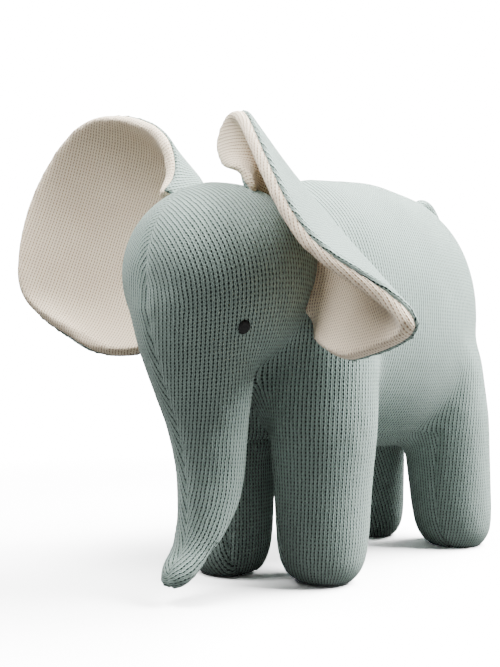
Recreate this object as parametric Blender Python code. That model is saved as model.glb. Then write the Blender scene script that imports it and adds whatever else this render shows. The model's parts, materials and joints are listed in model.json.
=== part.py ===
"""Stuffed knitted elephant: two side panels and two belly gussets over loose filling, with sewn-on ears and tail.

The toy faces -Y, its left side is +X, and it stands on the plane Z = 0 with its four flat soles.
"""

import math

import bmesh
import bpy
from mathutils import Matrix, Vector
from mathutils.bvhtree import BVHTree

MM = 0.001

# Driving dimensions, in millimetres.
KNIT_THICKNESS = 2.0  # the body's knitted skin
PIECE_GAP = 0.3  # left between two pieces that touch
FILLING_GAP = 0.7  # between the knit and the filling, whose faceted surfaces would otherwise touch
FORM_VOXEL = 3.5  # grid that merges the body's rough forms into one
FORM_SMOOTHING = 24  # smoothing passes, which round the creases between the forms
SKIN_SHARE = 0.04  # share of the grid's triangles that the body's surface keeps
ROOT_CLEARANCE = 4.4  # from the head to the middle of an ear's root, on the ear's hinge line
SWING_ALLOWANCE = 0.1  # more of that clearance for each millimetre that the root is off the hinge line
EAR_THICKNESS = 7.5
EAR_TAPERS = (0.15, 0.3, 0.1, 0.3)  # shares of the ear that thin out: to the rim, crown end, cheek end and root
EAR_ROOT_SHARE = 0.4  # of the full thickness, at the root
EAR_EDGE_SHARE = 0.3  # of the full thickness, at the free edge
EAR_KNIT = 1.4
EAR_RELAXING = 4
NORMAL_RELAXING = 12  # passes that even out the directions in which the ear gets its thickness
EAR_STAND_OFF = 5.4  # how much further the middle of the ear keeps from the head than its root
TAIL_RADIUS = 4.2
EYE_SIZE = (3.2, 4.4)  # half width and half height of the stitched eye

# Torso: station along Y, half width, lowest and highest point.
TORSO = [
    (-114, 16, 126, 182),
    (-106, 34, 106, 208),
    (-90, 48, 88, 231),
    (-58, 60, 76, 246),
    (0, 66, 70, 253),
    (44, 65, 70, 250),
    (70, 58, 74, 243),
    (88, 43, 84, 233),
    (100, 28, 96, 220),
    (108, 14, 108, 208),
    (112, 6, 118, 198),
]
HEAD_CENTRE = (0, -127, 178)
HEAD_RADII = (54, 59, 54)

# Trunk: Y and Z of the section's centre, half width, half depth, and the tilt of the section in degrees.
TRUNK = [
    (-138, 184, 40, 42, 0),
    (-144, 160, 39, 42, 0),
    (-145, 137, 32.5, 36.5, 0),
    (-143, 114, 26.5, 31, -4),
    (-139, 91, 21.5, 25, -4),
    (-137, 68, 19, 21, 0),
    (-139, 48, 18, 18.5, 12),
    (-145, 32, 17, 17, 36),
    (-155, 21, 15, 14.5, 60),
    (-165, 17, 12, 11.5, 76),
    (-171, 16, 7, 7, 80),
]

# Legs: the hip's and the foot's centre in X and Y, and the radii at the hip, the middle and the foot.
LEGS = {
    "front_left": ((34, -76), (28, -68), (31, 28.5, 27)),
    "front_right": ((-35, -80), (-33, -88), (31, 28.5, 27)),
    "hind_left": ((33, 64), (30, 85), (32, 30, 28)),
    "hind_right": ((-34, 62), (-37, 74), (32, 29, 26)),
}
HIP_HEIGHT = 92

# Each ear, from the top of its root on the crown down to the cheek: the seam on the head, the fold and the rim.
LEFT_EAR = {
    "root": [
        (30, -133, 220), (23, -120, 228), (27, -109, 226), (36, -102, 216),
        (45, -101, 198), (50, -103, 178), (53, -107, 160), (55, -113, 142),
    ],
    "fold": [
        (22, -134, 231), (10, -124, 244), (20, -121, 254), (38, -113, 230),
        (59, -102, 201), (82, -107, 177), (96, -122, 154), (81, -130, 132),
    ],
    "rim": [
        (2, -123, 240), (-10, -117, 257), (12, -127, 272), (49, -152, 239),
        (88, -164, 186), (124, -156, 160), (142, -152, 141), (100, -138, 129),
    ],
}
RIGHT_EAR = {
    "root": [
        (-30, -133, 220), (-22, -119, 228), (-30, -106, 224), (-42, -101, 207),
        (-49, -102, 185), (-52, -106, 165), (-53, -112, 150), (-54, -117, 141),
    ],
    "fold": [
        (-36, -134, 226), (-40, -113, 243), (-62, -107, 256), (-82, -109, 246),
        (-103, -118, 214), (-108, -124, 180), (-103, -129, 154), (-80, -135, 134),
    ],
    "rim": [
        (-41, -139, 228), (-42, -127, 246), (-58, -127, 275), (-112, -138, 288),
        (-147, -152, 245), (-151, -163, 195), (-142, -160, 165), (-98, -146, 141),
    ],
}
EAR_ROWS = 19
EAR_COLUMNS = 9
EAR_AXES = {"left": ((28, -112, 226), (54, -112, 141)), "right": ((-28, -112, 226), (-54, -112, 141))}

# Tail: its centre line from the seam on the rump, over a small arch and down behind.
TAIL = [(0, 82, 243.5), (0, 90, 249), (0, 102, 247), (0, 113, 236), (0, 119, 219), (0, 121, 200), (0, 120, 184)]

EYE_AIM = ((46, -154, 142), (-46, -154, 142))  # points just outside the head, level with each eye

# Where the body is divided: leg tops, trunk top, neck plane and the slanted plane behind the trunk.
LEG_TOP = 86
TRUNK_TOP = 140
NECK_PLANE = -100
TRUNK_WEDGE = (-106, 0.42)  # Y on the centre line, and how fast it falls away to the sides
GUSSET_TOP = 90
# Bounds of the regions that cut the body, all outside it.
REGION_HALF_WIDTH = 90
REGION_FRONT = -240
REGION_BACK = 150
REGION_BELOW = -10
REGION_ABOVE = 290
# Left gusset's seam in X and Y, from the chest back to the rump, at the soles and at the belly.
GUSSET_AT_SOLES = [(14, -112), (20, -40), (36, 20), (36, 125)]
GUSSET_AT_BELLY = [(14, -98), (52, -35), (54, 30), (48, 125)]

SAGE = (0.30, 0.40, 0.39, 1)
CREAM = (0.80, 0.70, 0.56, 1)
FILLING = (0.90, 0.90, 0.88, 1)
BLACK = (0.01, 0.01, 0.01, 1)


def new_object(name, mesh):
    obj = bpy.data.objects.new(name, mesh)
    bpy.context.scene.collection.objects.link(obj)
    return obj


def object_from_bmesh(name, bm):
    mesh = bpy.data.meshes.new(name)
    bm.to_mesh(mesh)
    bm.free()
    return new_object(name, mesh)


def loft(name, sections, corners=28):
    """A closed solid through rings: each section is a centre, two half sizes and a tilt about X."""
    bm = bmesh.new()
    rings = []
    for centre, half_u, half_v, tilt in sections:
        place = (
            Matrix.Translation(Vector(centre) * MM)
            @ Matrix.Rotation(math.radians(tilt), 4, "X")
            @ Matrix.Diagonal((half_u * MM, half_v * MM, 1, 1))
        )
        made = bmesh.ops.create_circle(bm, segments=corners, radius=1, cap_ends=False, matrix=place)
        rings.append(made["verts"])
    for lower, upper in zip(rings, rings[1:]):
        edges = [e for ring in (lower, upper) for e in {e for v in ring for e in v.link_edges}
                 if e.verts[0] in ring and e.verts[1] in ring]
        bmesh.ops.bridge_loops(bm, edges=list(dict.fromkeys(edges)))
    for ring in (rings[0], rings[-1]):
        bmesh.ops.contextual_create(bm, geom=ring)
    bmesh.ops.recalc_face_normals(bm, faces=bm.faces)
    return object_from_bmesh(name, bm)


def torso_form():
    sections = [
        ((0, y, (low + high) / 2), half_width, (high - low) / 2, 90)
        for y, half_width, low, high in TORSO
    ]
    return loft("torso_form", sections, 36)


def trunk_form():
    return loft("trunk_form", [((0, y, z), w, d, tilt) for y, z, w, d, tilt in TRUNK])


def leg_form(name):
    (hip_x, hip_y), (foot_x, foot_y), (hip_r, mid_r, foot_r) = LEGS[name]
    # share of the way from hip to foot, and radius there; the sole is a shallow dome that the floor flattens
    stations = [
        (-0.7, hip_r * 0.8), (-0.45, hip_r * 0.96), (0.0, hip_r), (0.4, mid_r), (0.72, foot_r * 1.02),
        (0.88, foot_r * 0.96), (0.97, foot_r * 0.8), (1.04, foot_r * 0.5),
    ]
    sections = []
    for share, radius in stations:
        reach = min(share, 1)
        centre = (
            hip_x + (foot_x - hip_x) * reach,
            hip_y + (foot_y - hip_y) * reach,
            HIP_HEIGHT * (1 - share),
        )
        sections.append((centre, radius, radius, 0))
    return loft(name + "_form", sections)


def head_form():
    bm = bmesh.new()
    place = Matrix.Translation(Vector(HEAD_CENTRE) * MM) @ Matrix.Diagonal((*[r * MM for r in HEAD_RADII], 1))
    bmesh.ops.create_uvsphere(bm, u_segments=36, v_segments=20, radius=1, matrix=place)
    return object_from_bmesh("head_form", bm)


def apply_modifiers(obj):
    graph = bpy.context.evaluated_depsgraph_get()
    graph.update()
    obj.data = bpy.data.meshes.new_from_object(obj.evaluated_get(graph))
    obj.modifiers.clear()


def body_form():
    """The toy's outer surface with all the rough forms merged; its feet still reach below the floor."""
    forms = [torso_form(), head_form(), trunk_form(), *[leg_form(name) for name in LEGS]]
    bm = bmesh.new()
    for form in forms:
        bm.from_mesh(form.data)
        bpy.data.objects.remove(form)
    body = object_from_bmesh("body_form", bm)
    merge = body.modifiers.new("merge", "REMESH")
    merge.mode = "VOXEL"
    merge.voxel_size = FORM_VOXEL * MM
    smooth = body.modifiers.new("smooth", "SMOOTH")
    smooth.factor = 0.5
    smooth.iterations = FORM_SMOOTHING
    thin = body.modifiers.new("thin", "DECIMATE")
    thin.ratio = SKIN_SHARE
    apply_modifiers(body)
    return body


def cut_flat(body, height):
    bm = bmesh.new()
    bm.from_mesh(body.data)
    geometry = bm.verts[:] + bm.edges[:] + bm.faces[:]
    place = (0, 0, height * MM)
    cut = bmesh.ops.bisect_plane(bm, geom=geometry, plane_co=place, plane_no=(0, 0, -1), clear_outer=True)
    edges = [item for item in cut["geom_cut"] if isinstance(item, bmesh.types.BMEdge)]
    bmesh.ops.holes_fill(bm, edges=edges, sides=0)
    bmesh.ops.triangulate(bm, faces=bm.faces)
    bmesh.ops.recalc_face_normals(bm, faces=bm.faces)
    bm.to_mesh(body.data)
    bm.free()


def shrunk(body, depth, name):
    """The surface a given depth inside the body's, cut level under the feet at that height."""
    bm = bmesh.new()
    bm.from_mesh(body.data)
    bm.normal_update()
    for vert in bm.verts:
        vert.co -= vert.normal * depth * MM
    inner = object_from_bmesh(name, bm)
    cut_flat(inner, depth)
    return inner


def hollow(body, inner, name):
    """One mesh of the outer surface and the inner one turned inside out."""
    bm = bmesh.new()
    bm.from_mesh(inner.data)
    bmesh.ops.reverse_faces(bm, faces=bm.faces)
    bm.from_mesh(body.data)
    return object_from_bmesh(name, bm)


def prism(name, lower, low, upper, high):
    """A closed region between two outlines with as many corners, at two heights."""
    bm = bmesh.new()
    floor = [bm.verts.new(Vector((x, y, low)) * MM) for x, y in lower]
    roof = [bm.verts.new(Vector((x, y, high)) * MM) for x, y in upper]
    bm.faces.new(floor)
    bm.faces.new(roof)
    for i in range(len(floor)):
        j = (i + 1) % len(floor)
        bm.faces.new((floor[i], floor[j], roof[j]))
        bm.faces.new((floor[i], roof[j], roof[i]))
    bmesh.ops.recalc_face_normals(bm, faces=bm.faces)
    region = object_from_bmesh(name, bm)
    region.hide_render = True
    region.display_type = "WIRE"
    return region


def block(name, x, y, z):
    outline = [(x[0], y[0]), (x[1], y[0]), (x[1], y[1]), (x[0], y[1])]
    return prism(name, outline, z[0], outline, z[1])


def trunk_region(grow=0):
    """Everything in front of the slanted plane behind the trunk, up to the trunk's top."""
    start, fall = TRUNK_WEDGE
    side_end = start - REGION_HALF_WIDTH * fall + grow
    outline = [
        (-REGION_HALF_WIDTH, side_end), (0, start + grow), (REGION_HALF_WIDTH, side_end),
        (REGION_HALF_WIDTH, REGION_FRONT), (-REGION_HALF_WIDTH, REGION_FRONT),
    ]
    return prism("trunk_region", outline, REGION_BELOW, outline, TRUNK_TOP + grow)


def gusset_region(side, grow=0):
    """The belly and the inner faces of the legs on one side, with side +1 for left and -1 for right."""
    inner = -1 if grow else PIECE_GAP / 2
    outlines = []
    for seam in (GUSSET_AT_SOLES, GUSSET_AT_BELLY):
        points = [(x + grow, y) for x, y in seam]
        points[0] = (points[0][0], points[0][1] - grow)
        points = [(inner, points[0][1]), *points, (inner, points[-1][1])]
        outlines.append([(side * x, y) for x, y in points])
    return prism("gusset_region", outlines[0], REGION_BELOW, outlines[1], GUSSET_TOP + grow)


def carve(source, name, keep=(), remove=()):
    """A copy of the source, cut to the regions kept and without those removed; the regions are used up."""
    piece = new_object(name, source.data.copy())
    for region, operation in [*((r, "INTERSECT") for r in keep), *((r, "DIFFERENCE") for r in remove)]:
        cut = piece.modifiers.new(operation.lower(), "BOOLEAN")
        cut.operation = operation
        cut.object = region
    apply_modifiers(piece)
    for region in (*keep, *remove):
        bpy.data.objects.remove(region)
    return piece


def paint(obj, colour, roughness=0.95):
    material = bpy.data.materials.new(obj.name)
    material.use_nodes = True
    surface = material.node_tree.nodes["Principled BSDF"]
    surface.inputs["Base Color"].default_value = colour
    surface.inputs["Roughness"].default_value = roughness
    obj.data.materials.clear()
    obj.data.materials.append(material)
    obj.data.shade_smooth()
    obj.data.set_sharp_from_angle(angle=math.radians(50))


def skin_panels(body):
    outer = shrunk(body, 0, "outer_form")
    inner = shrunk(body, KNIT_THICKNESS, "inner_form")
    skin = hollow(outer, inner, "skin_form")
    for label, side in (("left", 1), ("right", -1)):
        near, far = sorted((side * PIECE_GAP / 2, side * REGION_HALF_WIDTH))
        half = block("half_region", (near, far), (REGION_FRONT, REGION_BACK), (REGION_BELOW, REGION_ABOVE))
        paint(carve(skin, label + "_side_panel", [half], [gusset_region(side, PIECE_GAP)]), SAGE)
        paint(carve(skin, label + "_belly_gusset", [gusset_region(side)]), SAGE)
    for form in (outer, inner, skin):
        bpy.data.objects.remove(form)


def filling_pieces(body):
    core = shrunk(body, KNIT_THICKNESS + FILLING_GAP, "core_form")
    wide = (-REGION_HALF_WIDTH, REGION_HALF_WIDTH)
    head = block("region", wide, (REGION_FRONT, NECK_PLANE), (TRUNK_TOP + PIECE_GAP, REGION_ABOVE))
    paint(carve(core, "head_stuffing", [head]), FILLING)
    paint(carve(core, "trunk_stuffing", [trunk_region()]), FILLING)
    upper = block("region", wide, (REGION_FRONT, REGION_BACK), (LEG_TOP + PIECE_GAP, REGION_ABOVE))
    head = block("region", wide, (REGION_FRONT - 1, NECK_PLANE + PIECE_GAP), (TRUNK_TOP, REGION_ABOVE + 1))
    paint(carve(core, "torso_stuffing", [upper], [head, trunk_region(PIECE_GAP)]), FILLING)
    for name in LEGS:
        x = (0, REGION_HALF_WIDTH) if "left" in name else (-REGION_HALF_WIDTH, 0)
        y = (REGION_FRONT, 0) if "front" in name else (0, REGION_BACK)
        leg = block("region", x, y, (REGION_BELOW, LEG_TOP))
        paint(carve(core, name + "_leg_stuffing", [leg], [trunk_region(PIECE_GAP)]), FILLING)
    bpy.data.objects.remove(core)


def smooth_curve(points, count):
    """Points spaced evenly in parameter on a Catmull-Rom curve through the given points."""
    knots = [Vector(p) for p in points]
    knots = [2 * knots[0] - knots[1], *knots, 2 * knots[-1] - knots[-2]]
    spans = len(points) - 1
    found = []
    for step in range(count):
        place = spans * step / (count - 1)
        i = min(int(place), spans - 1)
        t = place - i
        a, b, c, d = knots[i:i + 4]
        found.append(
            0.5 * (2 * b + (c - a) * t + (2 * a - 5 * b + 4 * c - d) * t ** 2 + (3 * b - a - 3 * c + d) * t ** 3)
        )
    return found


def hinge_distance(point, label):
    start, end = (Vector(place) for place in EAR_AXES[label])
    along = (end - start).normalized()
    return (point - start).cross(along).length


def ear_grid(ear, label, surface):
    """The ear's middle surface: rows run from the crown to the cheek, columns from the root to the rim."""
    rows = [smooth_curve(ear[key], EAR_ROWS) for key in ("root", "fold", "rim")]
    grid = []
    for root, fold, rim in zip(*rows):
        pull = 2 * fold - (root + rim) / 2
        clearance = ROOT_CLEARANCE + SWING_ALLOWANCE * hinge_distance(root, label)
        line = []
        for step in range(EAR_COLUMNS):
            t = step / (EAR_COLUMNS - 1)
            point = root * (1 - t) ** 2 + 2 * t * (1 - t) * pull + rim * t ** 2
            distance = clearance + EAR_STAND_OFF * min(1, 2 * t)
            line.append(stand_off(point, surface, distance, snap=t == 0))
        grid.append(line)
    for _ in range(EAR_RELAXING):
        grid = relaxed(grid)
    return grid


def relaxed(grid, kept=1):
    """The grid with each vector moved half way to the middle of its neighbours, but for the kept side columns."""
    rows, columns = len(grid), len(grid[0])
    found = [list(line) for line in grid]
    for i in range(rows):
        for j in range(kept, columns - kept):
            near = [grid[i][k] for k in (j - 1, j + 1) if 0 <= k < columns]
            if 0 < i < rows - 1:
                near += [grid[i - 1][j], grid[i + 1][j]]
            found[i][j] = (grid[i][j] + sum(near, Vector()) / len(near)) / 2
    return found


def stand_off(point, surface, distance, snap=False):
    """The point moved straight out of the body to the given distance, if it is nearer, or always when snapped."""
    nearest, normal, _, _ = surface.find_nearest(point * MM)
    height = (point * MM - nearest).dot(normal) / MM
    if snap:
        return nearest / MM + normal * distance
    return point + normal * max(0, distance - height)


def grid_normals(grid, side):
    """Unit normals that point out of the ear's back."""
    rows, columns = len(grid), len(grid[0])
    normals = []
    for i in range(rows):
        normals.append([])
        for j in range(columns):
            along = grid[min(i + 1, rows - 1)][j] - grid[max(i - 1, 0)][j]
            across = grid[i][min(j + 1, columns - 1)] - grid[i][max(j - 1, 0)]
            normals[-1].append(side * across.cross(along).normalized())
    return normals


def slab(name, grid, normals, low, high):
    """A closed sheet between two offsets of a grid; each offset is a function of row and column shares."""
    rows, columns = len(grid), len(grid[0])
    bm = bmesh.new()
    sides = []
    for offset in (low, high):
        sides.append([
            [
                bm.verts.new((grid[i][j] + normals[i][j] * offset(i / (rows - 1), j / (columns - 1))) * MM)
                for j in range(columns)
            ]
            for i in range(rows)
        ])
    under, over = sides
    for i in range(rows - 1):
        for j in range(columns - 1):
            bm.faces.new((over[i][j], over[i + 1][j], over[i + 1][j + 1], over[i][j + 1]))
            bm.faces.new((under[i][j], under[i][j + 1], under[i + 1][j + 1], under[i + 1][j]))
    edge = [(i, 0) for i in range(rows)] + [(rows - 1, j) for j in range(1, columns)]
    edge += [(i, columns - 1) for i in range(rows - 2, -1, -1)] + [(0, j) for j in range(columns - 2, 0, -1)]
    for (i, j), (k, m) in zip(edge, edge[1:] + edge[:1]):
        bm.faces.new((under[i][j], under[k][m], over[k][m], over[i][j]))
    bmesh.ops.recalc_face_normals(bm, faces=bm.faces)
    return object_from_bmesh(name, bm)


def ear_depth(row, column):
    """Half the ear's thickness: thin at the root, full in the middle and rounded off towards the free edge."""
    rim, crown, cheek, root = EAR_TAPERS
    edge = min(1, (1 - column) / rim, (row + 0.01) / crown, (1.01 - row) / cheek)
    round_off = math.sqrt(1 - (1 - max(edge, 0)) ** 2)
    fullness = EAR_ROOT_SHARE + (1 - EAR_ROOT_SHARE) * min(1, column / root)
    return EAR_THICKNESS / 2 * fullness * max(EAR_EDGE_SHARE, round_off)


def ear_pieces(label, side, ear, surface):
    grid = ear_grid(ear, label, surface)
    normals = grid_normals(grid, side)
    for _ in range(NORMAL_RELAXING):
        normals = [[normal.normalized() for normal in line] for line in relaxed(normals, kept=0)]
    half_gap = PIECE_GAP / 2

    def knit_floor(row, column):
        return max(ear_depth(row, column) - EAR_KNIT, half_gap)

    back = slab(label + "_ear_back", grid, normals, knit_floor, ear_depth)
    lining = slab(
        label + "_ear_lining", grid, normals, lambda r, c: -ear_depth(r, c), lambda r, c: -knit_floor(r, c)
    )
    # the wadding stops short of the edge, where the two knitted sides close on each other
    middle = [line[:-1] for line in grid[4:-2]]
    middle_normals = [line[:-1] for line in normals[4:-2]]

    def wadding_half(row, column):
        first, last = 4 / (EAR_ROWS - 1), (EAR_ROWS - 3) / (EAR_ROWS - 1)
        true_row = first + row * (last - first)
        true_column = column * (EAR_COLUMNS - 2) / (EAR_COLUMNS - 1)
        return max(0.75 * knit_floor(true_row, true_column) - PIECE_GAP, 0.02)

    wadding = slab(
        label + "_ear_wadding", middle, middle_normals, lambda r, c: -wadding_half(r, c), wadding_half
    )
    hinge = bpy.data.objects.new(label + "_ear_hinge", None)
    bpy.context.scene.collection.objects.link(hinge)
    hinge.location = Vector(EAR_AXES[label][0]) * MM
    for piece, colour in ((back, SAGE), (lining, CREAM), (wadding, FILLING)):
        paint(piece, colour)
        piece.parent = hinge
        piece.matrix_parent_inverse = Matrix.Translation(-hinge.location)


def tail_piece():
    """A tapered knitted tube along the tail's centre line, with a rounded end."""
    spine = smooth_curve(TAIL, 15)
    bm = bmesh.new()
    rings = []
    for i, point in enumerate(spine):
        along = (spine[min(i + 1, len(spine) - 1)] - spine[max(i - 1, 0)]).normalized()
        share = i / (len(spine) - 1)
        radius = TAIL_RADIUS * (1 - 0.12 * share) * (0.55 if share == 1 else 1)
        turn = Matrix.Rotation(math.atan2(-along.y, along.z), 4, "X")
        place = Matrix.Translation(point * MM) @ turn @ Matrix.Scale(radius * MM, 4)
        made = bmesh.ops.create_circle(bm, segments=10, radius=1, cap_ends=i in (0, len(spine) - 1), matrix=place)
        rings.append(made["verts"])
    for lower, upper in zip(rings, rings[1:]):
        for j in range(len(lower)):
            k = (j + 1) % len(lower)
            bm.faces.new((lower[j], lower[k], upper[k], upper[j]))
    bmesh.ops.recalc_face_normals(bm, faces=bm.faces)
    tail = object_from_bmesh("tail", bm)
    tail.data.transform(Matrix.Translation(-Vector(TAIL[0]) * MM))
    tail.location = Vector(TAIL[0]) * MM
    paint(tail, SAGE)


def eye_pieces(surface):
    """A thin stitched oval on each side of the face, curved to the knit."""
    for label, aim in zip(("left", "right"), EYE_AIM):
        centre, normal, _, _ = surface.find_nearest(Vector(aim) * MM)
        turn = normal.to_track_quat("Z", "Y").to_matrix().to_4x4()
        bm = bmesh.new()
        place = Matrix.Translation(centre) @ turn @ Matrix.Diagonal((EYE_SIZE[0] * MM, EYE_SIZE[1] * MM, 1, 1))
        bmesh.ops.create_circle(bm, segments=20, radius=1, cap_ends=False, matrix=place)
        outline = bm.verts[:]
        inset = bmesh.ops.create_circle(bm, segments=20, radius=0.6, cap_ends=True, matrix=place)["verts"]
        for j in range(20):
            k = (j + 1) % 20
            bm.faces.new((outline[j], outline[k], inset[k], inset[j]))
        for vert in bm.verts:
            nearest, facing, _, _ = surface.find_nearest(vert.co)
            vert.co = nearest + facing * (PIECE_GAP + (0.5 if vert in inset else 0.3)) * MM
        made = bmesh.ops.extrude_face_region(bm, geom=bm.faces[:])
        for vert in (item for item in made["geom"] if isinstance(item, bmesh.types.BMVert)):
            vert.co += normal * 0.8 * MM
        bmesh.ops.recalc_face_normals(bm, faces=bm.faces)
        paint(object_from_bmesh(label + "_eye", bm), BLACK, 0.7)


def centre_on_origin():
    """Moves the whole toy level, so that its outline as seen from above is centred on the origin."""
    bpy.context.view_layer.update()
    corners = [
        piece.matrix_world @ vert.co
        for piece in bpy.data.objects if piece.type == "MESH" for vert in piece.data.vertices
    ]
    middle_x = (min(c.x for c in corners) + max(c.x for c in corners)) / 2
    middle_y = (min(c.y for c in corners) + max(c.y for c in corners)) / 2
    for piece in bpy.data.objects:
        if piece.parent is None:
            piece.location -= Vector((middle_x, middle_y, 0))


for old in list(bpy.data.objects):
    bpy.data.objects.remove(old)
body = body_form()
graph = bpy.context.evaluated_depsgraph_get()
graph.update()
surface = BVHTree.FromObject(body, graph)
skin_panels(body)
filling_pieces(body)
ear_pieces("left", 1, LEFT_EAR, surface)
ear_pieces("right", -1, RIGHT_EAR, surface)
tail_piece()
eye_pieces(surface)
bpy.data.objects.remove(body)
centre_on_origin()
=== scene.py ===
import json
import math

import bmesh
import bpy
import numpy as np
from mathutils import Matrix, Vector, noise
from mathutils.bvhtree import BVHTree
from mathutils.interpolate import poly_3d_calc
from mathutils.kdtree import KDTree

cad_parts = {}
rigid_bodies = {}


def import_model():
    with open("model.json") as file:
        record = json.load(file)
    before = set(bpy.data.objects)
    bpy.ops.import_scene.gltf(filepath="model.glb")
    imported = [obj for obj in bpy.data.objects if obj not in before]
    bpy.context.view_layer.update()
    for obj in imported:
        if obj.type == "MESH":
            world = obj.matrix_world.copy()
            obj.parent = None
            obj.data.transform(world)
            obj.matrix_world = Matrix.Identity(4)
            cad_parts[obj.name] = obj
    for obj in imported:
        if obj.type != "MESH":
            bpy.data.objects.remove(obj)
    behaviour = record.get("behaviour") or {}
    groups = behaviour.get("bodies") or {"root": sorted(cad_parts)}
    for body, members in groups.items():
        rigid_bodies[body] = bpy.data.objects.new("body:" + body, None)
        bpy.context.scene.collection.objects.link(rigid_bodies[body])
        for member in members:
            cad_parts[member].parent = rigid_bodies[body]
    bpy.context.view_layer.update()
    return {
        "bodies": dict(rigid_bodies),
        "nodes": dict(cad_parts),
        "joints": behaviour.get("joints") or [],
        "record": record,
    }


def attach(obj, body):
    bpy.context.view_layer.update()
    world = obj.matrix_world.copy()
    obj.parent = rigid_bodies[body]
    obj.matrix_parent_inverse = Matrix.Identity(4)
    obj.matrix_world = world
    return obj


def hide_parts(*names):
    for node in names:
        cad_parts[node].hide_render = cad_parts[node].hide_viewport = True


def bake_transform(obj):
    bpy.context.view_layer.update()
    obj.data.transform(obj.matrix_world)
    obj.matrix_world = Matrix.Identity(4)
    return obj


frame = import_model()
mm = 0.001

# The toy faces -Y. Its own zero is under the seam of the back, and the tail's hinge says where that is.
tailHinge = next(joint for joint in frame["joints"] if joint["name"] == "tail_swing")
toyZero = Vector(tailHinge["pos_m"]) - Vector((0, 82, 243.5)) * mm


def at(x, y, z):
    return toyZero + Vector((x, y, z)) * mm


def local(point):
    return (point - toyZero) / mm


def smoothShare(value):
    value = min(1, max(0, value))
    return value * value * (3 - 2 * value)


def bell(distance, width):
    return math.exp(-(distance / width) ** 2)


def newObject(name, bm):
    mesh = bpy.data.meshes.new(name)
    bm.to_mesh(mesh)
    bm.free()
    obj = bpy.data.objects.new(name, mesh)
    bpy.context.scene.collection.objects.link(obj)
    return obj


def applyModifiers(obj):
    graph = bpy.context.evaluated_depsgraph_get()
    graph.update()
    old = obj.data
    obj.data = bpy.data.meshes.new_from_object(obj.evaluated_get(graph))
    obj.modifiers.clear()
    bpy.data.meshes.remove(old)
    return obj


def merged(obj, voxel, rounding):
    # one even skin over all the rough forms; rounding is in square mm, so it doesn't depend on the voxel
    merge = obj.modifiers.new("merge", "REMESH")
    merge.mode = "VOXEL"
    merge.voxel_size = voxel * mm
    smooth = obj.modifiers.new("smooth", "SMOOTH")
    smooth.factor = 0.5
    smooth.iterations = max(1, round(rounding / voxel ** 2))
    return applyModifiers(obj)


def smoothCurve(points, share):
    # a point on a Catmull-Rom curve through the given points, share from 0 to 1
    knots = [Vector(p) for p in points]
    knots = [2 * knots[0] - knots[1], *knots, 2 * knots[-1] - knots[-2]]
    spans = len(points) - 1
    i = min(int(spans * share), spans - 1)
    t = spans * share - i
    a, b, c, d = knots[i:i + 4]
    return 0.5 * (2 * b + (c - a) * t + (2 * a - 5 * b + 4 * c - d) * t ** 2 + (3 * b - a - 3 * c + d) * t ** 3)


def ringEdges(ring):
    members = set(ring)
    found = {edge for vert in ring for edge in vert.link_edges if edge.other_vert(vert) in members}
    return sorted(found, key=lambda edge: min(vert.index for vert in edge.verts))


def addRings(bm, places, corners):
    # a closed solid through circles of radius 1, each set down by its own matrix
    rings = [
        bmesh.ops.create_circle(bm, segments=corners, radius=1, cap_ends=False, matrix=place)["verts"]
        for place in places
    ]
    bm.verts.index_update()
    for lower, upper in zip(rings, rings[1:]):
        bmesh.ops.bridge_loops(bm, edges=ringEdges(lower) + ringEdges(upper))
    for ring in (rings[0], rings[-1]):
        bmesh.ops.contextual_create(bm, geom=ring)
    bmesh.ops.recalc_face_normals(bm, faces=bm.faces)


# The stuffed body, in mm from the toy's zero.
body = {
    # along Y: half width, lowest and highest point
    "torso": [
        (-114, 16, 126, 182), (-106, 34, 106, 208), (-90, 48, 88, 231), (-58, 60, 76, 246), (0, 66, 70, 253),
        (44, 65, 70, 250), (70, 58, 74, 243), (88, 43, 84, 233), (100, 28, 96, 220), (108, 14, 108, 208),
        (112, 6, 118, 198),
    ],
    "headCentre": (0, -127, 178),
    "headRadii": (54, 59, 54),
    # Y, Z, half width, half depth, tilt
    "trunk": [
        (-138, 184, 40, 42, 0), (-144, 160, 39, 42, 0), (-145, 137, 32.5, 36.5, 0), (-143, 114, 26.5, 31, -4),
        (-139, 91, 21.5, 25, -4), (-137, 68, 19, 21, 0), (-139, 48, 18, 18.5, 12), (-145, 32, 17, 17, 36),
        (-155, 21, 15, 14.5, 60), (-165, 17, 12, 11.5, 76), (-171, 16, 7, 7, 80),
    ],
    # hip, foot, and the radii at hip, middle and foot
    "legs": [
        ((34, -76), (28, -68), (31, 28.5, 27)),
        ((-35, -80), (-33, -88), (31, 28.5, 27)),
        ((33, 64), (30, 85), (32, 30, 28)),
        ((-34, 62), (-37, 74), (32, 29, 26)),
    ],
    "hipHeight": 92,
    # share of the way down, which of the three radii, and its factor
    "legStations": [
        (-0.7, 0, 0.8), (-0.45, 0, 0.96), (0, 0, 1), (0.4, 1, 1), (0.72, 2, 1.02), (0.88, 2, 0.96), (0.97, 2, 0.8),
        (1.04, 2, 0.5),
    ],
    "corners": {"torso": 36, "trunk": 28, "leg": 28},
    "headGrid": (36, 20),
    "voxel": 2.0,
    "quickVoxel": 3.0,
    "rounding": 290,
}


def tiltedRing(x, y, z, halfWide, halfDeep, tilt):
    turn = Matrix.Rotation(math.radians(tilt), 4, "X")
    return Matrix.Translation(at(x, y, z)) @ turn @ Matrix.Diagonal((halfWide * mm, halfDeep * mm, 1, 1))


def legRings(hip, foot, radii):
    rings = []
    for share, which, factor in body["legStations"]:
        radius = radii[which] * factor
        reach = min(share, 1)
        x = hip[0] + (foot[0] - hip[0]) * reach
        y = hip[1] + (foot[1] - hip[1]) * reach
        rings.append(tiltedRing(x, y, body["hipHeight"] * (1 - share), radius, radius, 0))
    return rings


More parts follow.
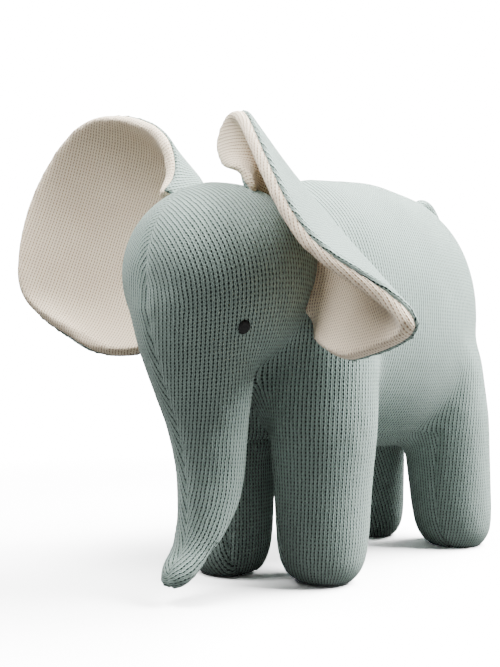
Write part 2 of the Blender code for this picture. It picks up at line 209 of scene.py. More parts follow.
def makeBodyForm(voxel):
    corners = body["corners"]
    bm = bmesh.new()
    torso = [tiltedRing(0, y, (low + high) / 2, wide, (high - low) / 2, 90) for y, wide, low, high in body["torso"]]
    addRings(bm, torso, corners["torso"])
    trunk = [tiltedRing(0, y, z, wide, deep, tilt) for y, z, wide, deep, tilt in body["trunk"]]
    addRings(bm, trunk, corners["trunk"])
    for hip, foot, radii in body["legs"]:
        addRings(bm, legRings(hip, foot, radii), corners["leg"])
    around, upward = body["headGrid"]
    place = Matrix.Translation(at(*body["headCentre"])) @ Matrix.Diagonal((*[r * mm for r in body["headRadii"]], 1))
    bmesh.ops.create_uvsphere(bm, u_segments=around, v_segments=upward, radius=1, matrix=place)
    form = merged(newObject("stuffedBody", bm), voxel, body["rounding"])
    for vert in form.data.vertices:
        vert.co.z = max(vert.co.z, 0)  # the soles press flat on the floor
    return form


seams = {
    # the belly gussets' edge in X and Y, at the soles and at the belly, whose heights are low and high
    "soles": [(14, -112), (20, -40), (36, 20), (36, 125)],
    "belly": [(14, -98), (52, -35), (54, 20), (26, 62), (24, 125)],
    "low": -10,
    "high": 82,
    "snap": 0.25,
    # the groove that a seam presses in, the swell beside it, and the puckers along it
    "reach": 14,
    "depth": 1.0,
    "width": 1.5,
    "swell": 0.35,
    "swellAt": 4.5,
    "swellWidth": 3,
    "pucker": 0.3,
    "puckerWidth": 6,
    "puckerScale": 190,
}


def alongLine(line, y):
    if y <= line[0][1]:
        return line[0][0]
    for (x0, y0), (x1, y1) in zip(line, line[1:]):
        if y <= y1:
            return x0 + (x1 - x0) * smoothShare((y - y0) / (y1 - y0))
    return line[-1][0]


def gussetSide(point):
    # below zero on the belly gussets, above it on the side panels
    x, y, z = local(point)
    share = (z - seams["low"]) / (seams["high"] - seams["low"])
    reach = alongLine(seams["soles"], y) * (1 - share) + alongLine(seams["belly"], y) * share
    front = seams["soles"][0][1] * (1 - share) + seams["belly"][0][1] * share
    return max(abs(x) - reach, z - seams["high"], front - y)


def cutAlong(bm, field, snap):
    # draws an edge line through the mesh where the field is zero, through a vertex that is nearer to it than the snap
    values = {}
    onLine = []
    for vert in bm.verts:
        value = field(vert.co)
        values[vert] = 0 if abs(value) < snap else value
        if abs(value) < snap:
            onLine.append(vert)
    for edge in bm.edges[:]:
        a, b = edge.verts
        first, second = values[a], values[b]
        if first * second < 0:
            _, vert = bmesh.utils.edge_split(edge, a, first / (first - second))
            onLine.append(vert)
    bmesh.ops.connect_verts(bm, verts=onLine)


def markPanels(bm, fields):
    # numbers each face by the side of each field that it lies on, and returns the edges of the seams
    layer = bm.faces.layers.int.new("panel")
    for face in bm.faces:
        centre = face.calc_center_median()
        face[layer] = sum(1 << i for i, field in enumerate(fields) if field(centre) > 0)
    return [edge for edge in bm.edges if len({face[layer] for face in edge.link_faces}) > 1]


def pressSeams(bm, edges, settings):
    points = [vert.co.copy() for edge in edges for vert in edge.verts]
    points += [(edge.verts[0].co + edge.verts[1].co) / 2 for edge in edges]
    tree = KDTree(len(points))
    for i, point in enumerate(points):
        tree.insert(point, i)
    tree.balance()
    bm.normal_update()
    moves = {}
    for vert in bm.verts:
        distance = tree.find(vert.co)[2] / mm
        if distance > settings["reach"]:
            continue
        ripple = noise.noise(vert.co * settings["puckerScale"]) * settings["pucker"]
        ripple *= bell(distance, settings["puckerWidth"])
        groove = settings["depth"] * bell(distance, settings["width"])
        swell = settings["swell"] * bell(distance - settings["swellAt"], settings["swellWidth"])
        moves[vert] = vert.normal * (ripple + swell - groove) * mm
    for vert, move in moves.items():
        vert.co += move
        vert.co.z = max(vert.co.z, 0)


noArea = 1e-24  # the squared area, in m4, under which a triangle has no direction


def flatPattern(obj, grain):
    # the flat shape that a panel is knitted to, with its wales along +V and its scale in metres
    bpy.ops.object.select_all(action="DESELECT")
    bpy.context.view_layer.objects.active = obj
    obj.select_set(True)
    bpy.ops.object.mode_set(mode="EDIT")
    bpy.ops.mesh.select_all(action="SELECT")
    bpy.ops.uv.unwrap(method="MINIMUM_STRETCH", margin=0)
    bpy.ops.object.mode_set(mode="OBJECT")
    bm = bmesh.new()
    bm.from_mesh(obj.data)
    bmesh.ops.triangulate(bm, faces=bm.faces)
    layer = bm.loops.layers.uv.active
    flat = {}
    for face in bm.faces:
        for loop in face.loops:
            flat[loop.vert.index] = loop[layer].uv.copy()
    grain = Vector(grain).normalized()
    along = Vector((0, 0))
    areaReal = areaFlat = 0
    for face in bm.faces:
        a, b, c = face.verts
        first, second = b.co - a.co, c.co - a.co
        flatFirst, flatSecond = flat[b.index] - flat[a.index], flat[c.index] - flat[a.index]
        m11, m12, m22 = first.dot(first), first.dot(second), second.dot(second)
        det = m11 * m22 - m12 * m12
        if det < noArea:
            continue
        g1, g2 = first.dot(grain), second.dot(grain)
        along += (flatFirst * (g1 * m22 - g2 * m12) + flatSecond * (g2 * m11 - g1 * m12)) / det * math.sqrt(det)
        areaReal += math.sqrt(det)
        areaFlat += abs(flatFirst.cross(flatSecond))
    turn = Matrix.Rotation(math.pi / 2 - math.atan2(along.y, along.x), 2)
    scale = math.sqrt(areaReal / areaFlat)
    points = [vert.co.copy() for vert in bm.verts]
    faces = [[vert.index for vert in face.verts] for face in bm.faces]
    bm.free()
    tree = BVHTree.FromPolygons(points, faces)
    return tree, points, faces, {i: (turn @ uv) * scale for i, uv in flat.items()}


fitting = {"shortest": 1e-9, "leastWeight": 0.02, "anchor": 1e-7}


def grownPattern(obj, grainAt):
    # a flat map whose wales follow a wanted direction at every point, the closest fit over the whole panel
    points = np.array([vert.co for vert in obj.data.vertices])
    obj.data.calc_loop_triangles()
    faces = np.array([triangle.vertices[:] for triangle in obj.data.loop_triangles])
    a, b, c = points[faces[:, 0]], points[faces[:, 1]], points[faces[:, 2]]
    normals = np.cross(b - a, c - a)
    double = np.linalg.norm(normals, axis=1, keepdims=True)
    normals /= double
    slopes = [np.cross(normals, edge) / double for edge in (c - b, a - c, b - a)]
    wanted = np.array([grainAt(Vector(place)) for place in (a + b + c) / 3])
    wanted -= normals * (wanted * normals).sum(axis=1, keepdims=True)
    lengths = np.linalg.norm(wanted, axis=1, keepdims=True)
    wanted /= np.maximum(lengths, fitting["shortest"])
    weights = double[:, 0] / double.mean() * (fitting["leastWeight"] + lengths[:, 0] ** 2) * mm ** 2
    count = len(points)
    system = np.eye(count) * fitting["anchor"]
    sides = np.zeros((count, 2))
    for i in range(3):
        for j in range(3):
            np.add.at(system, (faces[:, i], faces[:, j]), weights * (slopes[i] * slopes[j]).sum(axis=1))
        for column, field in enumerate((np.cross(wanted, normals), wanted)):
            np.add.at(sides[:, column], faces[:, i], weights * (slopes[i] * field).sum(axis=1))
    flat = np.linalg.solve(system, sides)
    corners = [Vector(place) for place in points]
    triangles = [list(map(int, face)) for face in faces]
    tree = BVHTree.FromPolygons(corners, triangles)
    return tree, corners, triangles, {i: Vector(uv) for i, uv in enumerate(flat)}


def layKnit(bm, name, grains, most=2600):
    # gives every panel its own flat pattern as a UV map, worked out on a copy with at most that many triangles
    layer = bm.faces.layers.int["panel"]
    uvLayer = bm.loops.layers.uv.new("knit")
    for panel in sorted({face[layer] for face in bm.faces}):
        part = bm.copy()
        partLayer = part.faces.layers.int["panel"]
        bmesh.ops.delete(part, geom=[face for face in part.faces if face[partLayer] != panel], context="FACES")
        share = most / (2 * len(part.faces))
        coarse = newObject(f"{name}Pattern{panel}", part)
        thin = coarse.modifiers.new("thin", "DECIMATE")
        thin.ratio = min(1, share)
        applyModifiers(coarse)
        pattern = grownPattern if callable(grains[panel]) else flatPattern
        tree, points, faces, flat = pattern(coarse, grains[panel])
        found = {}
        for face in bm.faces:
            if face[layer] != panel:
                continue
            for loop in face.loops:
                vert = loop.vert
                if vert not in found:
                    place, _, index, _ = tree.find_nearest(vert.co)
                    corners = faces[index]
                    shares = poly_3d_calc([points[i] for i in corners], place)
                    found[vert] = sum((flat[i] * share for i, share in zip(corners, shares)), Vector((0, 0)))
                loop[uvLayer].uv = found[vert]
        bpy.data.objects.remove(coarse)


def editMesh(obj, work):
    bm = bmesh.new()
    bm.from_mesh(obj.data)
    work(bm)
    bm.to_mesh(obj.data)
    bm.free()


def node(tree, kind, **settings):
    made = tree.nodes.new(kind)
    for key, value in settings.items():
        setattr(made, key, value)
    return made


def maths(tree, operation, first, second=None):
    made = node(tree, "ShaderNodeMath", operation=operation)
    for socket, value in zip(made.inputs, (first, second)):
        if isinstance(value, (int, float)):
            socket.default_value = value
        elif value is not None:
            tree.links.new(value, socket)
    return made.outputs[0]


def ramp(tree, value, low, high, toLow=0.0, toHigh=1.0):
    made = node(tree, "ShaderNodeMapRange", interpolation_type="SMOOTHSTEP")
    tree.links.new(value, made.inputs["Value"])
    for name, number in (("From Min", low), ("From Max", high), ("To Min", toLow), ("To Max", toHigh)):
        made.inputs[name].default_value = number
    return made.outputs[0]


def mixed(tree, share, first, second):
    made = node(tree, "ShaderNodeMix", data_type="RGBA")
    for socket, value in ((made.inputs[0], share), (made.inputs[6], first), (made.inputs[7], second)):
        if isinstance(value, (int, float, tuple)):
            socket.default_value = value
        else:
            tree.links.new(value, socket)
    return made.outputs[2]


def noiseAt(tree, place, scale, detail):
    made = node(tree, "ShaderNodeTexNoise", noise_dimensions="3D")
    tree.links.new(place, made.inputs["Vector"])
    made.inputs["Scale"].default_value = scale
    made.inputs["Detail"].default_value = detail
    return made.outputs["Fac"]


def reliefBump(tree, height, strength, depth):
    bump = node(tree, "ShaderNodeBump")
    bump.inputs["Strength"].default_value = strength
    bump.inputs["Distance"].default_value = depth * mm
    tree.links.new(height, bump.inputs["Height"])
    tree.links.new(bump.outputs[0], tree.nodes["Principled BSDF"].inputs["Normal"])


def toneBy(tone, factor):
    return (*[min(1, channel * factor) for channel in tone[:3]], 1)


# One stitch: sizes are shares of a column or a row, each noise has its scale and detail, and each ramp its ends.
knit = {
    "drift": {"noise": (260, 1), "reach": 0.35},
    "lift": {"noise": (340, 1), "reach": 0.4},
    "legRound": (0.0, 0.8, 0.35, 1.0),
    "slant": 1.1,
    "rowRound": (0.5, 0.1, 0.72, 1.0),
    "hole": {"across": 0.25, "along": 0.37, "edge": (1.25, 0.25), "depth": 0.6},
    # painted shade darkens the gutters between the wales
    "paintedGutterShade": {"edge": (0.2, 0.46), "shade": 0.9},
    # painted shade darkens the low parts of each stitch
    "hollow": (0.75, 0.15, 0.0, 0.6),
    "patch": {"noise": (45, 3), "edge": (0.3, 0.7), "tones": (0.93, 1.06)},
    "fleck": {"noise": (2600, 2), "edge": (0.35, 0.7), "shade": 0.35, "relief": 0.16},
    "bump": 0.7,
    "surface": {"Roughness": 0.92, "Specular IOR Level": 0.2, "Sheen Weight": 0.3, "Sheen Roughness": 0.45},
    "sheenTint": (1.3, 0.2),
}
# shade is a painted shade tone for the gutters and the low parts of the stitches, and also the tone of darker flecks;
# hole is the painted shade inside the holes
yarns = {
    "sageKnit": {
        "yarn": (0.40, 0.505, 0.46, 1), "shade": (0.125, 0.18, 0.155, 1), "hole": (0.008, 0.015, 0.012, 1),
        "pitch": 2.2, "depth": 0.9,
    },
    "creamKnit": {
        "yarn": (0.97, 0.84, 0.66, 1), "shade": (0.8, 0.63, 0.43, 1), "hole": (0.42, 0.28, 0.17, 1),
        "pitch": 1.9, "depth": 0.5,
    },
}


def knitMaterial(name):
    # stocking stitch: two slanting legs in every wale and a hole between the wales at every course, with painted
    # shade in the holes, in the gutters between the wales and in the low parts of each stitch
    yarn, shade, paintedHoleShade = (yarns[name][key] for key in ("yarn", "shade", "hole"))
    material = bpy.data.materials.new(name)
    material.use_nodes = True
    tree = material.node_tree
    surface = tree.nodes["Principled BSDF"]
    place = node(tree, "ShaderNodeTexCoord").outputs["Object"]
    split = node(tree, "ShaderNodeSeparateXYZ")
    tree.links.new(node(tree, "ShaderNodeUVMap", uv_map="knit").outputs[0], split.inputs[0])

    def calc(*given):
        return maths(tree, *given)

    def wandering(output, settings):
        # counts columns or rows, and lets them wander a little
        count = calc("DIVIDE", output, yarns[name]["pitch"] * mm)
        off = calc("SUBTRACT", noiseAt(tree, place, *settings["noise"]), 0.5)
        return calc("ADD", count, calc("MULTIPLY", off, settings["reach"]))

    across = wandering(split.outputs[0], knit["drift"])
    along = wandering(split.outputs[1], knit["lift"])
    fromMiddle = calc("ABSOLUTE", calc("SUBTRACT", calc("FRACT", across), 0.5))
    leg = calc("SUBTRACT", 1.0, calc("ABSOLUTE", calc("SUBTRACT", calc("MULTIPLY", fromMiddle, 4), 1)))
    slanted = calc("FRACT", calc("ADD", along, calc("MULTIPLY", fromMiddle, knit["slant"])))
    fromRow = calc("ABSOLUTE", calc("SUBTRACT", slanted, 0.5))
    height = calc("MULTIPLY", ramp(tree, leg, *knit["legRound"]), ramp(tree, fromRow, *knit["rowRound"]))
    hole = knit["hole"]
    holeRow = calc("ABSOLUTE", calc("SUBTRACT", calc("FRACT", along), 0.5))
    holeAcross = calc("DIVIDE", calc("SUBTRACT", 0.5, fromMiddle), hole["across"])
    holeAlong = calc("DIVIDE", holeRow, hole["along"])
    squared = calc("ADD", calc("MULTIPLY", holeAcross, holeAcross), calc("MULTIPLY", holeAlong, holeAlong))
    opening = ramp(tree, squared, *hole["edge"])
    # mask for the painted shade in the gutters between the wales
    paintedGutterShade = ramp(tree, fromMiddle, *knit["paintedGutterShade"]["edge"])
    patch = ramp(tree, noiseAt(tree, place, *knit["patch"]["noise"]), *knit["patch"]["edge"])
    yarnTone = mixed(tree, patch, *[toneBy(yarn, factor) for factor in knit["patch"]["tones"]])
    fleck = ramp(tree, noiseAt(tree, place, *knit["fleck"]["noise"]), *knit["fleck"]["edge"])
    yarnTone = mixed(tree, fleck, mixed(tree, knit["fleck"]["shade"], yarnTone, shade), yarnTone)
    # painted shade in the gutters, mixed towards the shade tone
    toneWithPaintedShade = mixed(tree, calc("MULTIPLY", paintedGutterShade, knit["paintedGutterShade"]["shade"]), yarnTone, shade)
    # painted shade in the low parts of each stitch
    toneWithPaintedShade = mixed(tree, ramp(tree, height, *knit["hollow"]), toneWithPaintedShade, shade)
    # painted shade inside the holes, in the hole tone
    toneWithPaintedShade = mixed(tree, opening, toneWithPaintedShade, paintedHoleShade)
    tree.links.new(toneWithPaintedShade, surface.inputs["Base Color"])
    relief = calc("ADD", height, calc("MULTIPLY", fleck, knit["fleck"]["relief"]))
    relief = calc("SUBTRACT", relief, calc("MULTIPLY", opening, hole["depth"]))
    reliefBump(tree, relief, knit["bump"], yarns[name]["depth"])
    for socket, value in knit["surface"].items():
        surface.inputs[socket].default_value = value
    factor, lighter = knit["sheenTint"]
    surface.inputs["Sheen Tint"].default_value = (*[min(1, c * factor + lighter) for c in yarn[:3]], 1)
    return material


sageKnit = knitMaterial("sageKnit")
creamKnit = knitMaterial("creamKnit")


def dress(obj, material):
    obj.data.materials.clear()
    obj.data.materials.append(material)
    obj.data.shade_smooth()


stuffedBody = makeBodyForm(body["voxel"])
settling = {"voxel": 5, "pressure": 4, "frames": 20, "cap": 2.2, "share": 0.85, "near": 6}


def settle(obj):
    # a coarse copy of the cover swells as cloth round its filling, and the form takes its change of shape, not size
    coarse = obj.copy()
    coarse.data = obj.data.copy()
    bpy.context.scene.collection.objects.link(coarse)
    remesh = coarse.modifiers.new("even", "REMESH")
    remesh.mode = "VOXEL"
    remesh.voxel_size = settling["voxel"] * mm
    applyModifiers(coarse)
    cloth = coarse.modifiers.new("filled", "CLOTH")
    cloth.settings.use_pressure = True
    cloth.settings.uniform_pressure_force = settling["pressure"]
    cloth.settings.effector_weights.gravity = 0
    cloth.point_cache.frame_end = settling["frames"]
    for frame in range(1, settling["frames"] + 1):
        bpy.context.scene.frame_set(frame)
    swollen = bpy.data.meshes.new_from_object(coarse.evaluated_get(bpy.context.evaluated_depsgraph_get()))
    bpy.context.scene.frame_set(1)
    pairs = zip(coarse.data.vertices, swollen.vertices)
    outs = [(after.co - before.co).dot(before.normal) for before, after in pairs]
    middle = sum(outs) / len(outs)
    cap = settling["cap"] * mm
    tree = KDTree(len(outs))
    for i, vert in enumerate(coarse.data.vertices):
        tree.insert(vert.co, i)
    tree.balance()
    places = []
    for vert in obj.data.vertices:
        near = [(1 / (distance + mm), i) for _, i, distance in tree.find_n(vert.co, settling["near"])]
        change = sum(weight * outs[i] for weight, i in near) / sum(weight for weight, _ in near) - middle
        change = cap * math.tanh(settling["share"] * change / cap)
        places.append(vert.co + vert.normal * change)
    for vert, place in zip(obj.data.vertices, places):
        vert.co = (place.x, place.y, max(place.z, 0))
    bpy.data.objects.remove(coarse)


settle(stuffedBody)
print("body settled")


# Where the knit's columns leave the upright: over the crown, along the trunk's lower end, and on the hind legs.
grain = {
    "crownLean": 1.1, "crownFrom": 150, "crownOver": 60, "headFrom": -50, "headOver": 50,
    "trunkRing": 5, "trunkBack": 30, "hindLean": 0.6, "hindOver": 40,
}


def panelGrain(point):
    # straight up the toy, but across the crown, and along the trunk where its tip turns forward
    x, y, z = local(point)
    ringY, ringZ = body["trunk"][grain["trunkRing"]][:2]
    if y > ringY + grain["trunkBack"] or z > ringZ:
        lean = grain["crownLean"] * smoothShare((z - grain["crownFrom"]) / grain["crownOver"])
        lean *= smoothShare((grain["headFrom"] - y) / grain["headOver"])
        return Vector((-math.copysign(lean, x), 0, 1))
    stations = [Vector((0, station[0], station[1])) for station in body["trunk"]]
    place = Vector((0, y, z))
    nearest = min(range(1, len(stations) - 1), key=lambda i: (stations[i] - place).length)
    return (stations[nearest - 1] - stations[nearest + 1]).normalized()


def gussetGrain(point):
    # up the front legs, and leaning forward on the hind legs, where the columns meet the side panel in a V
    return Vector((0, -grain["hindLean"] * smoothShare(local(point).y / grain["hindOver"]), 1))


def splitMiddle(bm, dist):
    geometry = bm.verts[:] + bm.edges[:] + bm.faces[:]
    bmesh.ops.bisect_plane(bm, geom=geometry, plane_co=toyZero, plane_no=(1, 0, 0), dist=dist * mm)


def middleSide(point):
    return (point - toyZero).x


def sewBody(bm):
    splitMiddle(bm, 0.2)
    cutAlong(bm, gussetSide, seams["snap"])
    pressSeams(bm, markPanels(bm, [gussetSide, middleSide]), seams)
    layKnit(bm, "body", {0: gussetGrain, 1: panelGrain, 2: gussetGrain, 3: panelGrain}, 3000)


editMesh(stuffedBody, sewBody)
dress(stuffedBody, sageKnit)
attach(stuffedBody, "body")
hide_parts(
    "left_side_panel", "right_side_panel", "left_belly_gusset", "right_belly_gusset",
    "head_stuffing", "trunk_stuffing", "torso_stuffing", "front_left_leg_stuffing", "front_right_leg_stuffing",
    "hind_left_leg_stuffing", "hind_right_leg_stuffing",
)
skin = stuffedBody.data
skinPoints = [vert.co.copy() for vert in skin.vertices]
skinTree = BVHTree.FromPolygons(skinPoints, [list(face.vertices) for face in skin.polygons])
print("body sewn:", len(skin.polygons), "faces")


# Each ear runs from the crown to the cheek along its root, fold and rim.
ears = {
    "thickness": 8.5,
    "knitThickness": 1.3,
    "voxel": 1.6,
    "quickFactor": 1.5,
    "rounding": 26,
    "rows": 70,
    "columns": 34,
    # passes that even out the middle of the ear and its free edge
    "relaxing": 30,
    "evening": 12,
    "rootPoints": 200,
    "rootReach": 0.4,
    # the root goes into the head, and the ear keeps clear of it from there on, more so away from the crown
    "rootDepth": -1.5,
    "sewnClear": 3.2,
    "flapClear": 4.8,
    "crownShare": 0.25,
    "rootShare": 0.12,
    "fullShare": 0.3,
    # how far the rim's seam lies towards the back, and how it is pressed
    "seamShift": {"left": 2.2, "right": 2.7},
    "seam": {"depth": 1.0, "width": 1.1, "swell": 0.2, "pucker": 0.12, "snap": 0.2},
    "mostTriangles": 1800,
    "blendRow": 4,
    "blendLength": 24,
    "outward": (0.95, 0, 0.31),
    "left": {
        "root": [
            (30, -133, 220), (23, -120, 228), (27, -109, 226), (36, -102, 216),
            (45, -101, 198), (50, -103, 178), (53, -107, 160), (55, -113, 142),
        ],
        "fold": [
            (22, -134, 231), (10, -124, 244), (20, -121, 254), (38, -113, 230),
            (59, -102, 201), (82, -107, 177), (96, -122, 154), (81, -130, 132),
        ],
        "rim": [
            (2, -123, 240), (-10, -117, 257), (12, -127, 272), (49, -152, 239),
            (88, -164, 186), (124, -156, 160), (142, -152, 141), (100, -138, 129),
        ],
    },
    "right": {
        "root": [
            (-30, -133, 220), (-22, -119, 228), (-30, -106, 224), (-42, -101, 207),
            (-49, -102, 185), (-52, -106, 165), (-53, -112, 150), (-54, -117, 141),
        ],
        "fold": [
            (-36, -134, 226), (-40, -113, 243), (-62, -107, 256), (-82, -109, 246),
            (-103, -118, 214), (-108, -124, 180), (-103, -129, 154), (-80, -135, 134),
        ],
        "rim": [
            (-41, -139, 228), (-42, -127, 246), (-58, -127, 275), (-112, -138, 288),
            (-147, -152, 245), (-151, -163, 195), (-142, -160, 165), (-98, -146, 141),
        ],
    },
}


def earPoint(ear, along, across):
    root, fold, rim = (smoothCurve(ear[key], along) for key in ("root", "fold", "rim"))
    pull = 2 * fold - (root + rim) / 2
    point = root * (1 - across) ** 2 + 2 * across * (1 - across) * pull + rim * across ** 2
    place = at(*point)
    nearest, normal, _, _ = skinTree.find_nearest(place)
    clear = ears["sewnClear"] + ears["flapClear"] * min(1, 2 * across) * smoothShare(along / ears["crownShare"])
    wanted = ears["rootDepth"] + (clear - ears["rootDepth"]) * smoothShare(across / ears["rootShare"])
    height = (place - nearest).dot(normal) / mm
    if across == 0:
        return nearest + normal * wanted * mm
    return place + normal * max(0, wanted - height) * mm


def evenEdge(bm, ear):
    # takes small kinks out of the free edge, and leaves the sewn root where it is
    count = ears["rootPoints"]
    root = KDTree(count)
    for i in range(count):
        root.insert(earPoint(ear, i / (count - 1), 0), i)
    root.balance()
    free = [vert for vert in bm.verts if vert.is_boundary and root.find(vert.co)[2] > ears["rootReach"] * mm]
    for _ in range(ears["evening"]):
        places = {}
        for vert in free:
            first, second = [edge.other_vert(vert).co for edge in vert.link_edges if edge.is_boundary]
            places[vert] = vert.co / 2 + (first + second) / 4
        for vert, place in places.items():
            vert.co = place


def makeEar(side, sign):
    ear = ears[side]
    bm = bmesh.new()
    bmesh.ops.create_grid(bm, x_segments=ears["columns"], y_segments=ears["rows"], size=1)
    fullness = bm.verts.layers.deform.new()
    for vert in bm.verts:
        across, along = (vert.co.x + 1) / 2, (vert.co.y + 1) / 2
        across = 0 if across < 1e-5 else across
        vert[fullness][0] = 0.5 + 0.5 * smoothShare(across / ears["fullShare"])
        vert.co = earPoint(ear, min(1, max(0, along)), across)
    evenEdge(bm, ear)
    inner = [vert for vert in bm.verts if not vert.is_boundary]
    for _ in range(ears["relaxing"]):
        bmesh.ops.smooth_vert(bm, verts=inner, factor=0.5, **{f"use_axis_{axis}": True for axis in "xyz"})
    bm.normal_update()
    middle = newObject(side + "Ear", bm)
    points = [vert.co.copy() for vert in middle.data.vertices]
    faces = [list(face.vertices) for face in middle.data.polygons]
    tree = BVHTree.FromPolygons(points, faces)
    middle.vertex_groups.new(name="fullness")
    pad = middle.modifiers.new("pad", "SOLIDIFY")
    pad.thickness = ears["thickness"] * mm
    pad.offset = 0
    pad.vertex_group = "fullness"
    merged(middle, ears["voxel"] * (1), ears["rounding"])

    def backSide(point):
        nearest, normal, _, _ = tree.find_nearest(point)
        return (point - nearest).dot(normal) * sign / mm - ears["seamShift"][side]

    def sewEar(bm):
        settings = {**seams, **ears["seam"]}
        cutAlong(bm, backSide, settings["snap"])
        pressSeams(bm, markPanels(bm, [backSide]), settings)
        # the columns run beside the root
        root = Vector(ear["root"][2]) - Vector(ear["root"][-1])
        layKnit(bm, side + "Ear", {0: root, 1: root}, ears["mostTriangles"])

    editMesh(middle, sewEar)
    for part, keep, material, slot, solids in (
        ("Back", 1, sageKnit, "sage_knit", ("_ear_back", "_ear_wadding")),
        ("Lining", 0, creamKnit, "cream_knit", ("_ear_lining",)),
    ):
        bm = bmesh.new()
        bm.from_mesh(middle.data)
        layer = bm.faces.layers.int["panel"]
        bmesh.ops.delete(bm, geom=[face for face in bm.faces if face[layer] != keep], context="FACES")
        shell = newObject(side + "Ear" + part, bm)
        dress(shell, material)
        thick = shell.modifiers.new("knit thickness", "SOLIDIFY")
        thick.thickness = ears["knitThickness"] * mm
        thick.offset = -1
        applyModifiers(shell)
        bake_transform(shell)
        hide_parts(*[side + solid for solid in solids])
    bpy.data.objects.remove(middle)


makeEar("left", 1)
makeEar("right", -1)
print("ears sewn")


tail = {
    "line": [(0, 82, 243.5), (0, 90, 249), (0, 102, 247), (0, 113, 236), (0, 119, 219), (0, 121, 200), (0, 120, 184)],
    "radius": 4.2,
    "taper": 0.12,
    "roundEnd": 0.06,
    "leastEnd": 0.02,
    "rings": 60,
    "corners": 24,
    "step": 0.01,
    "blend": (0, 10, 4),
}


def makeTail():
    places = []
    for i in range(tail["rings"]):
        share = i / (tail["rings"] - 1)
        point = smoothCurve(tail["line"], share)
        ahead = smoothCurve(tail["line"], min(1, share + tail["step"]))
        ahead -= smoothCurve(tail["line"], max(0, share - tail["step"]))
        rounded = math.sqrt(max(tail["leastEnd"], min(1, (1 - share) / tail["roundEnd"])))
        radius = tail["radius"] * (1 - tail["taper"] * share) * rounded
        turn = Matrix.Rotation(math.atan2(-ahead.y, ahead.z), 4, "X")
        places.append(Matrix.Translation(at(*point)) @ turn @ Matrix.Scale(radius * mm, 4))
    bm = bmesh.new()
    addRings(bm, places, tail["corners"])
    obj = newObject("knittedTail", bm)

    def sewTail(bm):
        splitMiddle(bm, 0.05)
        bmesh.ops.triangulate(bm, faces=[face for face in bm.faces if len(face.verts) > 4])
        markPanels(bm, [middleSide])
        layKnit(bm, "tail", {0: (0, 0, -1), 1: (0, 0, -1)})

    editMesh(obj, sewTail)
    dress(obj, sageKnit)
    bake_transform(obj)
    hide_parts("tail")


makeTail()
print("tail sewn")


eyes = {
    "aim": {"left": (46, -154, 142), "right": (-46, -154, 142)},
    "halfWide": 3.1,
    "halfHigh": 4.3,
    "threads": 11,
    "spread": 0.9,
    "overlap": 1.25,
    "steps": 12,
    "corners": 8,
    "tipSize": 0.45,
    # each thread's height over the skin, at its ends and in the middle, less towards the sides
    "endsProud": 0.15,
    "middleProud": 1.1,
    "sideShare": 0.85,
    "tones": ((0.001, 0.001, 0.001, 1), (0.006, 0.006, 0.006, 1)),
    "fibre": (2200, 2),
    "bump": (0.4, 0.1),
    "roughness": 0.6,
}


def threadMaterial():
    material = bpy.data.materials.new("blackThread")
    material.use_nodes = True
    tree = material.node_tree
    surface = tree.nodes["Principled BSDF"]
    place = node(tree, "ShaderNodeTexCoord").outputs["Object"]
    fibre = noiseAt(tree, place, *eyes["fibre"])
    tree.links.new(mixed(tree, fibre, *eyes["tones"]), surface.inputs["Base Color"])
    reliefBump(tree, fibre, *eyes["bump"])
    surface.inputs["Roughness"].default_value = eyes["roughness"]
    return material


blackThread = threadMaterial()


def makeEye(side):
    centre, normal, _, _ = skinTree.find_nearest(at(*eyes["aim"][side]))
    up = (Vector((0, 0, 1)) - normal * normal.z).normalized()
    across = up.cross(normal)
    turn = up.to_track_quat("Z", "Y").to_matrix().to_4x4()
    wide, threads, steps = eyes["halfWide"], eyes["threads"], eyes["steps"]
    bm = bmesh.new()
    for i in range(threads):
        sideways = wide * (2 * i / (threads - 1) - 1) * eyes["spread"]
        reach = eyes["halfHigh"] * math.sqrt(1 - (sideways / wide) ** 2)
        crown = eyes["middleProud"] * math.sqrt(1 - (eyes["sideShare"] * sideways / wide) ** 2)
        places = []
        for step in range(steps + 1):
            t = 2 * step / steps - 1
            spot = centre + across * sideways * mm + up * reach * t * mm
            nearest, facing, _, _ = skinTree.find_nearest(spot)
            proud = eyes["endsProud"] + crown * math.sqrt(max(0, 1 - t * t))
            radius = wide / threads * eyes["overlap"] * (eyes["tipSize"] if step in (0, steps) else 1)
            places.append(Matrix.Translation(nearest + facing * proud * mm) @ turn @ Matrix.Scale(radius * mm, 4))
        addRings(bm, places, eyes["corners"])
    obj = newObject(side + "Eye", bm)
    dress(obj, blackThread)
    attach(obj, "body")
    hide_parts(side + "_eye")


for side in ("left", "right"):
    makeEye(side)
print("eyes stitched")


# The floor and the sky are bright to the camera and dim to the toy. Fade says where the floor fades out, in metres.
studio = {
    "world": 0.1,
    "backdrop": 18,
    "floorBounce": 0.1,
    "floorWhite": 2.3,
    "fade": (0.25, 0.9),
    "floorRadius": 9,
    "floorCorners": 96,
    "aim": (0, 0, 0.12),
    "lamps": {
        "key": {"from": (0.52, 0.42, 0.92), "size": 0.8, "power": 105},
        "front": {"from": (-0.3, -0.6, 1.05), "size": 0.6, "power": 18},
        "top": {"from": (-0.1, -0.25, 1.05), "size": 0.5, "power": 22},
    },
}


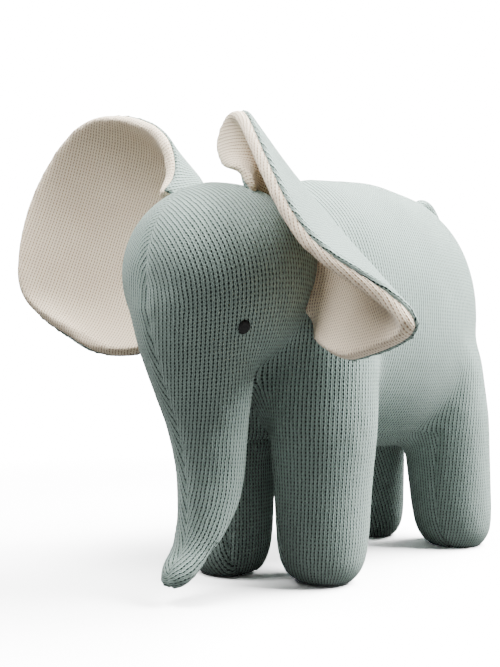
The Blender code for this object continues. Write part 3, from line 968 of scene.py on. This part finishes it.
def makeFloor():
    bm = bmesh.new()
    bmesh.ops.create_circle(bm, segments=studio["floorCorners"], radius=studio["floorRadius"], cap_ends=True)
    floor = newObject("floor", bm)
    material = bpy.data.materials.new("paleFloor")
    material.use_nodes = True
    tree = material.node_tree
    tree.nodes.remove(tree.nodes["Principled BSDF"])
    matt = node(tree, "ShaderNodeBsdfDiffuse")
    seen = node(tree, "ShaderNodeLightPath").outputs["Is Camera Ray"]
    tone = mixed(tree, seen, (*[studio["floorBounce"]] * 3, 1), (*[studio["floorWhite"]] * 3, 1))
    tree.links.new(tone, matt.inputs["Color"])
    glow = node(tree, "ShaderNodeEmission")
    glow.inputs["Strength"].default_value = studio["backdrop"]
    distance = node(tree, "ShaderNodeVectorMath", operation="LENGTH")
    tree.links.new(node(tree, "ShaderNodeTexCoord").outputs["Object"], distance.inputs[0])
    fade = maths(tree, "MULTIPLY", ramp(tree, distance.outputs["Value"], *studio["fade"]), seen)
    both = node(tree, "ShaderNodeMixShader")
    for socket, value in zip(both.inputs, (fade, matt.outputs[0], glow.outputs[0])):
        tree.links.new(value, socket)
    tree.links.new(both.outputs[0], tree.nodes["Material Output"].inputs["Surface"])
    floor.data.materials.append(material)


makeFloor()


def makeLight(name, settings):
    place = Vector(settings["from"])
    lamp = bpy.data.lights.new(name, "AREA")
    lamp.size = settings["size"]
    lamp.energy = settings["power"]
    obj = bpy.data.objects.new(name, lamp)
    bpy.context.scene.collection.objects.link(obj)
    obj.location = place
    obj.rotation_euler = (Vector(studio["aim"]) - place).to_track_quat("-Z", "Y").to_euler()


for lampName, lampSettings in studio["lamps"].items():
    makeLight(lampName, lampSettings)
world = bpy.data.worlds.new("studio")
world.use_nodes = True
sky = world.node_tree
sky.nodes["Background"].inputs["Color"].default_value = (1, 1, 1, 1)
seenSky = node(sky, "ShaderNodeLightPath").outputs["Is Camera Ray"]
strength = ramp(sky, seenSky, 0, 1, studio["world"], studio["backdrop"])
sky.links.new(strength, sky.nodes["Background"].inputs["Strength"])
bpy.context.scene.world = world

view = {"place": (346.5, -446.3, 124.2), "turn": 42.2, "pitch": 2.43, "lens": 46.42, "sensor": 36, "near": 0.01}
camera = bpy.data.objects.new("camera", bpy.data.cameras.new("camera"))
bpy.context.scene.collection.objects.link(camera)
camera.location = Vector(view["place"]) * mm
camera.rotation_euler = (math.radians(90 + view["pitch"]), 0, math.radians(view["turn"]))
camera.data.lens = view["lens"]
camera.data.sensor_width = view["sensor"]
camera.data.clip_start = view["near"]
bpy.context.scene.camera = camera
print("studio set")
